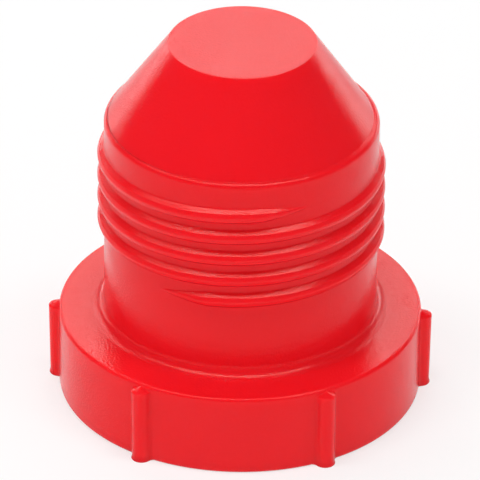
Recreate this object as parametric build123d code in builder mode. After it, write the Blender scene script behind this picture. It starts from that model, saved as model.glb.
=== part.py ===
from build123d import *
from math import cos, radians, sin, tan
import os

# Threaded fitting plug: a one-piece moulded plug that screws into a flared
# tube fitting. It stands on its ribbed head with the cone nose up. The origin
# is the centre of the head's bottom rim, +Z runs up the axis to the nose and
# +X runs through one of the grip ribs. All sizes are in millimetres.

# Head, the round grip that stays outside the fitting
head_radius = 12.1
head_height = 5.7
head_edge_radius = 0.25
head_wall = 1.9
head_web = 1.5

# Grip ribs round the head: round posts half sunk in it, leaning out from their
# foot, with a cone point on top
rib_count = 6
rib_width = 1.24
rib_height = 5.3
rib_point_height = 0.25
rib_foot_reach = 0.625
rib_lean_angle = 1

# Thread, 3/4-16, one shallow right-hand ridge. From the stem its flanks rise
# steeply to a knee and then gently to a narrow crest.
inch = 25.4
thread_major_diameter = 3 / 4 * inch
thread_pitch = inch / 16
thread_depth = 0.44
thread_root_width = 1.12
thread_knee_width = 0.6
thread_knee_drop = 0.09
thread_crest_width = 0.12
thread_start_height = 11.43
thread_start_angle = -102
thread_full_turns = 4.06
thread_run_out_angle = 17

# Stem, sloped shoulder and cone nose
neck_fillet = 0.75
shoulder_height = 14.46
shoulder_ledge = 0.345
shoulder_slope_angle = 20
shoulder_edge_radius = 0.4
nose_height = 5.55
nose_flat_radius = 4.89
nose_edge_radius = 0.1

# Hollow core, open at the bottom
stem_wall = 1.5
nose_wall = 1.6
core_draft_angle = 0.5
core_corner_radius = 0.4

# Heights and radii that follow from the sizes above
stem_radius = thread_major_diameter / 2 - thread_depth
shoulder_top = head_height + shoulder_height
total_height = shoulder_top + nose_height
shoulder_edge = shoulder_top - shoulder_ledge * tan(radians(shoulder_slope_angle))
nose_base_radius = stem_radius - shoulder_ledge
nose_slope = (nose_base_radius - nose_flat_radius) / nose_height
recess_depth = head_height - head_web
recess_radius = head_radius - head_wall
recess_mouth_radius = recess_radius + recess_depth * tan(radians(core_draft_angle))
core_mouth_radius = stem_radius - stem_wall
core_bend = shoulder_top - nose_wall
core_bend_radius = core_mouth_radius - (core_bend - recess_depth) * tan(radians(core_draft_angle))
core_top = total_height - nose_wall
core_top_radius = core_bend_radius - (core_top - core_bend) * nose_slope

# The ridge is rooted this deep in the stem
root_depth = 0.15

# At its tip a run-out is this far under the stem, and this share of its width wide
tip_sink = 0.05
tip_share = 0.15
run_out_sections = 4


def ridge_plane(turns):
    """Plane through the axis, x outward and y up, where the ridge is after so many turns."""
    angle = radians(360 * turns)
    return Plane(
        origin=(0, 0, thread_pitch * turns),
        x_dir=(cos(angle), sin(angle), 0),
        z_dir=(sin(angle), -cos(angle), 0),
    )


def ridge_section(share):
    """Corners of the ridge's section: full at share 1, narrow and sunk just under the stem at share 0."""
    widths = tip_share + (1 - tip_share) * share
    crest = thread_depth * share - tip_sink * (1 - share)
    half = [
        (stem_radius - root_depth, thread_root_width / 2 * widths),
        (stem_radius + crest - thread_depth * share, thread_root_width / 2 * widths),
        (stem_radius + crest - thread_knee_drop * share, thread_knee_width / 2 * widths),
        (stem_radius + crest, thread_crest_width / 2 * widths),
    ]
    return [(radius, -across) for radius, across in half] + half[::-1]


# The thread ridge, wound from +X: full turns swept along the helix, then a
# run-out at each end that narrows and sinks into the stem
run_out_turns = thread_run_out_angle / 360
with BuildPart() as thread_ridge:
    with BuildSketch(ridge_plane(0)):
        Polygon(*ridge_section(1), align=None)
    with BuildLine():
        Helix(thread_pitch, thread_pitch * thread_full_turns, stem_radius)
    sweep(is_frenet=True)
    for end_turns, way in ((0, -1), (thread_full_turns, 1)):
        for section in range(run_out_sections):
            along = section / (run_out_sections - 1)
            with BuildSketch(ridge_plane(end_turns + way * run_out_turns * along)):
                Polygon(*ridge_section(1 - along), align=None)
        loft()

# One grip rib on +X: a round post with a cone point, leaning out and cut flat at its foot
rib_radius = rib_width / 2
rib_foot_centre = head_radius + rib_foot_reach - rib_radius
with BuildPart() as rib:
    with Locations(Location((rib_foot_centre, 0, 0), (0, rib_lean_angle, 0))):
        Cylinder(rib_radius, 2 * rib_height)
        with Locations((0, 0, rib_height)):
            Cone(rib_radius, 0, rib_point_height, align=(Align.CENTER, Align.CENTER, Align.MIN))
    split(bisect_by=Plane.XY, keep=Keep.TOP)

with BuildPart() as threaded_plug:
    # Outside: head, stem, shoulder and cone nose
    with BuildSketch(Plane.XZ):
        with BuildLine():
            outside = FilletPolyline(
                (0, 0),
                (head_radius, 0),
                (head_radius, head_height),
                (stem_radius, head_height),
                (stem_radius, shoulder_edge),
                (nose_base_radius, shoulder_top),
                (nose_flat_radius, total_height),
                (0, total_height),
                radius=(
                    head_edge_radius,
                    head_edge_radius,
                    neck_fillet,
                    shoulder_edge_radius,
                    0,
                    nose_edge_radius,
                ),
            )
            Line(outside @ 1, outside @ 0)
        make_face()
    revolve(axis=Axis.Z)

    # Thread and grip ribs
    with Locations((0, 0, thread_start_height)):
        add(thread_ridge.part, rotation=(0, 0, thread_start_angle))
    with PolarLocations(0, rib_count):
        add(rib.part)

    # Hollow core: a recess in the head, then a drafted bore that follows the nose
    with BuildSketch(Plane.XZ):
        with BuildLine():
            inside = FilletPolyline(
                (0, 0),
                (recess_mouth_radius, 0),
                (recess_radius, recess_depth),
                (core_mouth_radius, recess_depth),
                (core_bend_radius, core_bend),
                (core_top_radius, core_top),
                (0, core_top),
                radius=(0, *[core_corner_radius] * 4),
            )
            Line(inside @ 1, inside @ 0)
        make_face()
    revolve(axis=Axis.Z, mode=Mode.SUBTRACT)

threaded_plug.part.label = "threaded_plug"

os.makedirs("parts", exist_ok=True)
export_step(threaded_plug.part, "parts/threaded_plug.step")
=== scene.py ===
from cmath import phase, rect
from math import atan2, ceil, cos, hypot, pi, radians, sin, sqrt, tan

import bpy
import numpy as np
from mathutils import Matrix, Vector


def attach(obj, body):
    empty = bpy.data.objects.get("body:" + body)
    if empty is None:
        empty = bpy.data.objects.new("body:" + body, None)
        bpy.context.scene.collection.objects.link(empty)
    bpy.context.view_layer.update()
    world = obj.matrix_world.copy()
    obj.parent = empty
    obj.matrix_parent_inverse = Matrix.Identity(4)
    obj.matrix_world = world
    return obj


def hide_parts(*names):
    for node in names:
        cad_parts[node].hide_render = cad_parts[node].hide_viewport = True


# Threaded fitting plug in red moulded polyethylene, standing on its ribbed head
# with the cone nose up. It has the CAD solid's form and sizes, and what moulding
# adds: rounded thread edges, small fillets, ribs that blend into the head, and a
# cone that stands a little off centre. Its sizes are in millimetres and its
# angles in degrees. Those of the floor and the lamps are in metres.
MM = 0.001

# Head
head_radius = 12.1
head_height = 5.7
head_edge_radius = 0.25

# Grip ribs, round posts half sunk in the head with a cone point on top
rib_count = 6
rib_width = 1.24
rib_height = 5.3
rib_point_height = 0.25
rib_edge_round = 0.12
rib_foot_reach = 0.625
rib_lean_angle = 1
rib_root_depth = 0.3

# Fillets between ribs and head. Their outer edges are sunk a little in the head's wall
rib_foot_fillet = 0.4
rib_top_fillet = 0.25
rib_fillet_sink = 0.02

# Slight flare at each rib's foot
rib_foot_flare = 0.08
rib_flare_height = 0.3
rib_flare_round = 0.5
rib_foot_round = 0.06

# Flat caps that close a rib at its foot and at its point, as shares of its radius
foot_cap_share = 0.5
point_cap_share = 0.05

# Thread, 3/4-16, one shallow right-hand ridge with rounded edges
inch = 25.4
thread_major_diameter = 3 / 4 * inch
thread_pitch = inch / 16
thread_depth = 0.44
thread_root_width = 1.12
thread_knee_width = 0.6
thread_knee_drop = 0.09
thread_crest_width = 0.12
thread_root_round = 0.12
thread_knee_round = 0.06
thread_crest_round = 0.1
thread_start_height = 11.43
thread_start_angle = -102
thread_full_turns = 4.06

# A run-out is 4 degrees longer than the solid's, because its fine tail shows here
thread_run_out_angle = 21

# Stem, shoulder and cone nose
neck_fillet = 0.75
shoulder_height = 14.46
shoulder_ledge = 0.345
shoulder_slope_angle = 20
shoulder_edge_radius = 0.4
cone_foot_fillet = 0.06
cone_foot_shift = -0.085
nose_height = 5.55
nose_flat_radius = 4.89
nose_edge_radius = 0.1

# Hollow core, open at the bottom
head_wall = 1.9
head_web = 1.5
stem_wall = 1.5
nose_wall = 1.6
core_draft_angle = 0.5
core_corner_radius = 0.4
mouth_edge_round = 0.12

# Heights and radii that follow from the sizes above
stem_radius = thread_major_diameter / 2 - thread_depth
shoulder_top = head_height + shoulder_height
total_height = shoulder_top + nose_height
nose_base_radius = stem_radius - shoulder_ledge
shoulder_edge = shoulder_top - shoulder_ledge * tan(radians(shoulder_slope_angle))
nose_slope = (nose_base_radius - nose_flat_radius) / nose_height
recess_depth = head_height - head_web
recess_radius = head_radius - head_wall
recess_mouth_radius = recess_radius + recess_depth * tan(radians(core_draft_angle))
core_mouth_radius = stem_radius - stem_wall
core_bend = shoulder_top - nose_wall
core_bend_radius = core_mouth_radius - (core_bend - recess_depth) * tan(radians(core_draft_angle))
core_top = total_height - nose_wall
core_top_radius = core_bend_radius - (core_top - core_bend) * nose_slope

# Camera, fitted to the rings in the photo. The point where the plug's axis meets
# the level of the head's upper face is seen at axis_point_px.
picture_size = 480
focal_length_px = 6785
camera_distance = 453.4
camera_azimuth = 2
camera_elevation = 30.79
camera_roll = 0.53
axis_point_px = (240.18, 303.71)
sensor_width = 36

# Studio, in metres: every lamp's distance from the plug and half the floor's width
lamp_distance = 0.5
floor_reach = 0.6

# White in what the camera and the gloss see of the floor, as a share
floor_white_share = 0.6

# Mesh: points round the axis, and steps in each small round edge
columns_per_turn = 240
edge_steps = 5
thread_edge_steps = 2

# An extra point on each side of a round edge, this far away but at most this share
# of the flat beside it, keeps the flat from being shaded round
support_distance = 0.04
support_share = 0.3


def rounded(corners, steps=edge_steps):
    """Points along an outline of (x, y, radius) corners, with an extra one on each side of a round edge."""
    spots = [complex(x, y) for x, y, radius in corners]
    lengths = [abs(after - before) for before, after in zip(spots, spots[1:])]
    ways = [(after - before) / length for before, after, length in zip(spots, spots[1:], lengths)]
    turns = [phase(after / before) for before, after in zip(ways, ways[1:])]
    reaches = [corner[2] * tan(abs(turn) / 2) for corner, turn in zip(corners[1:], turns)]
    flats = [
        length - reach - next_reach
        for length, reach, next_reach in zip(lengths, [0, *reaches], [*reaches, 0])
    ]
    gaps = [min(support_distance, support_share * flat) for flat in flats]
    points = [spots[0]]
    for i, turn in enumerate(turns):
        start = spots[i + 1] - ways[i] * reaches[i]
        to_middle = ways[i] * 1j * reaches[i] / tan(turn / 2)
        points.append(start - ways[i] * gaps[i])
        for step in range(steps + 1):
            points.append(start + to_middle * (1 - rect(1, turn * step / steps)))
        points.append(spots[i + 1] + ways[i + 1] * (reaches[i] + gaps[i + 1]))
    points.append(spots[-1])
    return np.array([(point.real, point.imag) for point in points])


class Shell:
    """Points and faces of a mesh round the Z axis, with columns of points from first_angle on."""

    def __init__(self, first_angle=0):
        self.points = []
        self.faces = []
        self.angles = [
            radians(first_angle) + 2 * pi * column / columns_per_turn
            for column in range(columns_per_turn)
        ]

    def point(self, radius, angle, height):
        """Adds a point by its radius, angle in radians and height."""
        self.points.append((radius * cos(angle), radius * sin(angle), height))
        return len(self.points) - 1

    def face(self, *corners):
        """Adds a face, unless its corners have come together."""
        kept = list(dict.fromkeys(corners))
        if len(kept) > 2:
            self.faces.append(kept)

    def bridge(self, ring, next_ring):
        """Faces between two rings, outward where both run anticlockwise and the next is higher."""
        for i in range(len(ring)):
            j = (i + 1) % len(ring)
            self.face(ring[i], ring[j], next_ring[j], next_ring[i])

    def revolve(self, outline, ring=None):
        """Rings along an outline of (radius, height), from a ring if one is given. Gives the last ring."""
        for radius, height in outline:
            if radius == 0:
                next_ring = [self.point(0, 0, height)] * columns_per_turn
            else:
                next_ring = [self.point(radius, angle, height) for angle in self.angles]
            if ring is not None:
                self.bridge(ring, next_ring)
            ring = next_ring
        return ring


def ridge_section(share):
    """The stem's outline over one pitch as (height from its middle, height over the stem). The ridge in its
    middle is full at share 1, and at share 0 it is narrow and level with the stem."""
    lower_half = [
        (-thread_pitch / 2, 0, 0),
        (-thread_root_width / 2, 0, thread_root_round),
        (-thread_knee_width / 2, thread_depth - thread_knee_drop, thread_knee_round),
        (-thread_crest_width / 2, thread_depth, thread_crest_round),
    ]
    upper_half = [(-across, over, radius) for across, over, radius in reversed(lower_half)]
    section = rounded(lower_half + upper_half, thread_edge_steps)
    narrowest = thread_crest_width / thread_root_width
    section[1:-1, 0] *= narrowest + (1 - narrowest) * share
    section[:, 1] *= share
    return section


def add_threaded_stem(shell, low_height, ring):
    """The stem's threaded stretch, up from a ring at low_height. Gives the ring on top and its height.

    It is a strip one pitch wide, wound up the stem, and each turn shares its lower points with the turn
    below. Its first turn widens from nothing and its last one narrows to nothing, so that it starts and
    ends level. The ridge lies in the turns between.
    """
    column_angle = 360 / columns_per_turn
    ridge_angle = 360 * thread_full_turns + 2 * thread_run_out_angle
    ridge_columns = ceil(ridge_angle / column_angle) + 1
    last_column = ridge_columns + 2 * columns_per_turn
    top_turns = 1 + ridge_columns / columns_per_turn

    # Column 1 stands at the shell's first angle. Column 0, before it, is all one point.
    strip = [[ring[-1]] * len(ridge_section(0))]
    for column in range(1, last_column):
        turns = column / columns_per_turn
        low = low_height + thread_pitch * max(0, turns - 1)
        high = low_height + thread_pitch * min(turns, top_turns)
        from_start = (column - columns_per_turn - 1) * column_angle
        rise = min(from_start, ridge_angle - from_start) / thread_run_out_angle
        section = ridge_section(min(1, max(0, rise)))
        angle = shell.angles[0] + radians((column - 1) * column_angle)
        if column <= columns_per_turn:
            points = [ring[column - 1]]
        else:
            points = [strip[column - columns_per_turn][-1]]
        for from_middle, over in section[1:]:
            height = (low + high) / 2 + from_middle * (high - low) / thread_pitch
            points.append(shell.point(stem_radius + over, angle, height))
        strip.append(points)

    # The strip ends in one point too, where its last turn began
    top_start = last_column - columns_per_turn
    strip.append([strip[top_start][-1]] * len(strip[0]))
    for column, next_column in zip(strip, strip[1:]):
        for row in range(len(column) - 1):
            shell.face(column[row], next_column[row], next_column[row + 1], column[row + 1])

    # The upper points of the last turn make the ring on top, in the order of the shell's angles
    top_ring = [None] * columns_per_turn
    for column in range(top_start, last_column):
        top_ring[(column - 1) % columns_per_turn] = strip[column][-1]
    return top_ring, low_height + thread_pitch * top_turns


def head_radius_at(height):
    """Radius of the head's wall, less where its two edges are rounded."""
    into_edge = max(0, head_edge_radius - height, height - head_height + head_edge_radius)
    return head_radius - head_edge_radius + sqrt(head_edge_radius**2 - into_edge**2)


def rib_section(half_width, centre, fillet, wall_radius):
    """Half of a rib's level section as (sideways, outward), from its middle to its root inside the head.
    The post is round about its centre and meets the head's wall, of wall_radius, in a fillet."""
    # The fillet's own centre is at (fillet_side, wall + fillet), and it starts at end_angle on the post
    wall = sqrt(wall_radius**2 - (half_width + fillet) ** 2) - rib_fillet_sink
    drop = wall + fillet - centre
    fillet_side = sqrt((half_width + fillet) ** 2 - max(0, drop) ** 2)
    end_angle = atan2(fillet_side, max(0, drop))
    round_steps = 2 * edge_steps
    points = []
    for step in range(round_steps + 1):
        angle = end_angle * step / round_steps
        points.append((half_width * sin(angle), centre + half_width * cos(angle)))
    for step in range(edge_steps + 1):
        angle = end_angle * (1 - step / edge_steps)
        points.append((fillet_side - fillet * sin(angle), wall + fillet - fillet * cos(angle)))
    points.append((fillet_side + support_distance, wall - support_distance))
    points.append((fillet_side + support_distance, wall - rib_root_depth))
    return points


def add_rib(shell, angle):
    """One grip rib at an angle in radians: level sections from its foot to its cone point."""
    rib_radius = rib_width / 2
    profile = rounded(
        [
            (rib_radius * foot_cap_share, 0, 0),
            (rib_radius + rib_foot_flare, 0, rib_foot_round),
            (rib_radius, rib_flare_height, rib_flare_round),
            (rib_radius, rib_height, rib_edge_round),
            (rib_radius * point_cap_share, rib_height + rib_point_height, 0),
        ]
    )
    rows = []
    for half_width, height in profile:
        fillet = rib_foot_fillet + (rib_top_fillet - rib_foot_fillet) * height / rib_height
        centre = head_radius + rib_foot_reach - rib_radius + height * tan(radians(rib_lean_angle))
        half = rib_section(half_width, centre, fillet * half_width / rib_radius, head_radius_at(height))
        other_half = [(-side, out) for side, out in reversed(half[1:])]
        row = []
        for side, out in other_half + half:
            row.append(shell.point(hypot(side, out), angle + atan2(side, out), height))
        rows.append(row)
    for row, next_row in zip(rows, rows[1:]):
        shell.bridge(row, next_row)
    shell.face(*reversed(rows[0]))
    shell.face(*rows[-1])


def build_moulding():
    """The moulding without its ribs as one object: hollow, head, threaded stem, shoulder and nose."""
    shell = Shell(thread_start_angle - thread_run_out_angle)

    # The threaded stretch starts half a pitch, a run-out and a column under the thread's start
    turns_before = 1 / 2 + thread_run_out_angle / 360 + 1 / columns_per_turn
    low_height = thread_start_height - thread_pitch * turns_before
    ring = shell.revolve(
        rounded(
            [
                (0, core_top, 0),
                (core_top_radius, core_top, core_corner_radius),
                (core_bend_radius, core_bend, core_corner_radius),
                (core_mouth_radius, recess_depth, core_corner_radius),
                (recess_radius, recess_depth, core_corner_radius),
                (recess_mouth_radius, 0, mouth_edge_round),
                (head_radius, 0, head_edge_radius),
                (head_radius, head_height, head_edge_radius),
                (stem_radius, head_height, neck_fillet),
                (stem_radius, low_height, 0),
            ]
        )
    )
    ring, high_height = add_threaded_stem(shell, low_height, ring)
    top = rounded(
        [
            (stem_radius, high_height, 0),
            (stem_radius, shoulder_edge, shoulder_edge_radius),
            (nose_base_radius, shoulder_top, cone_foot_fillet),
            (nose_flat_radius, total_height, nose_edge_radius),
            (0, total_height, 0),
        ]
    )

    # The first point and the shoulder's round edge, with a point on each side of its arc, come first
    cone_start = 1 + (edge_steps + 1) + 2
    ring = shell.revolve(top[1:cone_start], ring)
    first_point = len(shell.points)
    shell.revolve(top[cone_start:], ring)

    # The cone's foot is moved along X over the sloped shoulder, and its top stays in place
    for i in range(first_point, len(shell.points)):
        x, y, height = shell.points[i]
        shift = cone_foot_shift * (total_height - height) / nose_height
        sink = shift * x / nose_base_radius * tan(radians(shoulder_slope_angle))
        shell.points[i] = (x + shift, y, height - sink)
    return mesh_object("moulded_plug", shell)


def mesh_object(name, shell):
    """An object made from a shell, in metres."""
    mesh = bpy.data.meshes.new(name)
    mesh.from_pydata([Vector(point) * MM for point in shell.points], [], shell.faces)
    mesh.update()
    thing = bpy.data.objects.new(name, mesh)
    bpy.context.scene.collection.objects.link(thing)
    return thing


def join_ribs(moulding):
    """Unites the grip ribs with the moulding into one smooth-shaded skin."""
    shell = Shell()
    for rib in range(rib_count):
        add_rib(shell, 2 * pi * rib / rib_count)
    ribs = mesh_object("ribs", shell)
    union = moulding.modifiers.new("union", "BOOLEAN")
    union.operation = "UNION"
    union.solver = "MANIFOLD"
    union.object = ribs
    joined = moulding.evaluated_get(bpy.context.evaluated_depsgraph_get())
    mesh = bpy.data.meshes.new_from_object(joined)
    mesh.materials.clear()
    mesh.shade_smooth()
    moulding.modifiers.clear()
    moulding.data = mesh
    bpy.data.objects.remove(ribs)


def polyethylene():
    """Red moulded polyethylene: semi-gloss, a little cloudy, with faint waves and grain in its surface."""
    material = bpy.data.materials.new("red_polyethylene")
    material.use_nodes = True
    nodes, links = material.node_tree.nodes, material.node_tree.links
    shader = nodes["Principled BSDF"]
    shader.inputs["IOR"].default_value = 1.5
    shader.inputs["Specular IOR Level"].default_value = 0.2
    shader.inputs["Specular Tint"].default_value = (1.0, 0.97, 0.87, 1)
    shader.inputs["Subsurface Weight"].default_value = 0.6
    shader.inputs["Subsurface Radius"].default_value = (1.0, 0.15, 0.1)
    shader.inputs["Subsurface Scale"].default_value = 1.5 * MM
    place = nodes.new("ShaderNodeTexCoord")

    def noise(scale, detail):
        texture = nodes.new("ShaderNodeTexNoise")
        texture.inputs["Scale"].default_value = scale
        texture.inputs["Detail"].default_value = detail
        links.new(place.outputs["Object"], texture.inputs["Vector"])
        return texture

    def bump(texture, strength, distance):
        relief = nodes.new("ShaderNodeBump")
        relief.inputs["Strength"].default_value = strength
        relief.inputs["Distance"].default_value = distance
        links.new(texture.outputs["Fac"], relief.inputs["Height"])
        return relief

    # Clouds are about 6 mm across, waves about 2 mm and grain about 0.14 mm
    clouds = noise(scale=180, detail=3)
    waves = noise(scale=450, detail=1)
    grain = noise(scale=7000, detail=1)

    colour = nodes.new("ShaderNodeMix")
    colour.data_type = "RGBA"
    colour.inputs["A"].default_value = (0.785, 0.0085, 0.0155, 1)
    colour.inputs["B"].default_value = (0.815, 0.0105, 0.0175, 1)
    links.new(clouds.outputs["Fac"], colour.inputs["Factor"])
    links.new(colour.outputs["Result"], shader.inputs["Base Color"])

    roughness = nodes.new("ShaderNodeMapRange")
    roughness.inputs["To Min"].default_value = 0.14
    roughness.inputs["To Max"].default_value = 0.2
    links.new(waves.outputs["Fac"], roughness.inputs["Value"])
    links.new(roughness.outputs["Result"], shader.inputs["Roughness"])

    wave_bump = bump(waves, strength=0.15, distance=0.02 * MM)
    grain_bump = bump(grain, strength=0.7, distance=0.03 * MM)
    links.new(wave_bump.outputs["Normal"], grain_bump.inputs["Normal"])
    links.new(grain_bump.outputs["Normal"], shader.inputs["Normal"])
    return material


def floor_paint():
    """Matt pale paint. The camera and the gloss see it lifted towards white, and other light doesn't."""
    material = bpy.data.materials.new("pale_floor")
    material.use_nodes = True
    nodes, links = material.node_tree.nodes, material.node_tree.links
    shader = nodes["Principled BSDF"]
    shader.inputs["Base Color"].default_value = (0.93, 0.93, 0.93, 1)
    shader.inputs["Roughness"].default_value = 0.8
    shader.inputs["Specular IOR Level"].default_value = 0.0
    white = nodes.new("ShaderNodeEmission")
    path = nodes.new("ShaderNodeLightPath")
    seen = path.outputs["Is Camera Ray"]
    for ray in ("Is Glossy Ray", "Is Transmission Ray"):
        either = nodes.new("ShaderNodeMath")
        either.operation = "MAXIMUM"
        links.new(seen, either.inputs[0])
        links.new(path.outputs[ray], either.inputs[1])
        seen = either.outputs["Value"]
    share = nodes.new("ShaderNodeMath")
    share.operation = "MULTIPLY"
    share.inputs[1].default_value = floor_white_share
    links.new(seen, share.inputs[0])
    mix = nodes.new("ShaderNodeMixShader")
    links.new(share.outputs["Value"], mix.inputs["Fac"])
    links.new(shader.outputs["BSDF"], mix.inputs[1])
    links.new(white.outputs["Emission"], mix.inputs[2])
    links.new(mix.outputs["Shader"], nodes["Material Output"].inputs["Surface"])
    return material


def pale_floor():
    """A plain pale floor under the plug."""
    near, far = -floor_reach, floor_reach
    mesh = bpy.data.meshes.new("floor")
    mesh.from_pydata([(near, near, 0), (far, near, 0), (far, far, 0), (near, far, 0)], [], [(0, 1, 2, 3)])
    floor = bpy.data.objects.new("floor", mesh)
    bpy.context.scene.collection.objects.link(floor)
    floor.data.materials.append(floor_paint())


def softbox(name, azimuth, elevation, width, height, radiance, reflected=True):
    """A rectangular lamp aimed at the plug. Azimuth 0 is in front and 90 on the right, in degrees.
    Where reflected is False it lights the plug but isn't mirrored in its gloss."""
    lamp = bpy.data.lights.new(name, "AREA")
    lamp.shape = "RECTANGLE"
    lamp.size = width
    lamp.size_y = height
    lamp.energy = radiance * pi * width * height
    box = bpy.data.objects.new(name, lamp)
    bpy.context.scene.collection.objects.link(box)
    around = radians(azimuth + camera_azimuth - 90)
    up = radians(elevation)
    direction = Vector((cos(up) * cos(around), cos(up) * sin(around), sin(up)))
    target = Vector((0, 0, total_height / 2 * MM))
    box.location = target + direction * lamp_distance
    box.rotation_euler = direction.to_track_quat("Z", "Y").to_euler()
    box.visible_camera = False
    box.visible_glossy = reflected


def studio():
    """Soft boxes that the gloss mirrors, fills in front that it doesn't, and a dim surround."""
    world = bpy.data.worlds.new("surround")
    bpy.context.scene.world = world
    world.use_nodes = True
    background = world.node_tree.nodes["Background"]
    background.inputs["Color"].default_value = (1, 1, 1, 1)
    background.inputs["Strength"].default_value = 0.1

    # The panel is mirrored in the level faces, and the top box in the thread's upper flanks
    softbox("back_panel", 180, 31, 0.84, 0.12, 4.1)
    softbox("top_box", 0, 79, 0.6, 0.11, 8.8)

    # Mirrored on the left in the thread, the neck fillet and the shoulder's edge
    softbox("left_top_box", -98, 52, 0.14, 0.12, 3.4)
    softbox("left_back_box", -150, 46, 0.08, 0.2, 3.2)

    # Mirrored at the left and right limbs of the cone, the stem and the head
    softbox("left_screen", -147, 0.8, 0.36, 0.06, 4.2)
    softbox("right_screen", 147, 0.8, 0.36, 0.06, 4.9)

    # Even light on the front and the sides
    softbox("front_fill", 0, 10, 1.2, 0.2, 1.5, reflected=False)
    softbox("left_fill", -70, 10, 0.5, 0.2, 1.8, reflected=False)
    softbox("right_fill", 70, 10, 0.5, 0.2, 1.2, reflected=False)


def photo_camera():
    """The camera at the photo's viewpoint."""
    around = radians(camera_azimuth - 90)
    up = radians(camera_elevation)
    roll = radians(camera_roll)
    forward = -Vector((cos(up) * cos(around), cos(up) * sin(around), sin(up)))
    level = Vector((-sin(around), cos(around), 0))
    raised = level.cross(forward)
    right = level * cos(roll) + raised * sin(roll)
    top = raised * cos(roll) - level * sin(roll)
    aside, down = (place - picture_size / 2 for place in axis_point_px)
    camera = bpy.data.cameras.new("photo_camera")
    camera.sensor_width = sensor_width
    camera.lens = focal_length_px * sensor_width / picture_size
    viewer = bpy.data.objects.new("photo_camera", camera)
    bpy.context.scene.collection.objects.link(viewer)
    axis_point = Vector((0, 0, head_height))
    offset = right * (aside / focal_length_px) - top * (down / focal_length_px) + forward
    position = axis_point - offset * camera_distance
    turned = Matrix((right, top, -forward)).transposed()
    viewer.matrix_world = Matrix.Translation(position * MM) @ turned.to_4x4()
    bpy.context.scene.camera = viewer


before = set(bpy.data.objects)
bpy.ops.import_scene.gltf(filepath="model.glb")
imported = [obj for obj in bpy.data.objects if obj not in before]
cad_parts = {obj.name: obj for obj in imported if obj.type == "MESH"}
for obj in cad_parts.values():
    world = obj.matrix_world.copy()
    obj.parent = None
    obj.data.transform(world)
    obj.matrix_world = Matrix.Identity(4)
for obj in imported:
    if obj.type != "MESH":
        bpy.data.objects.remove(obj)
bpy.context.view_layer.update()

moulding = build_moulding()
join_ribs(moulding)
moulding.data.materials.append(polyethylene())
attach(moulding, "root")
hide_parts("threaded_plug")

pale_floor()
studio()
photo_camera()
bpy.context.scene.view_settings.view_transform = "Standard"
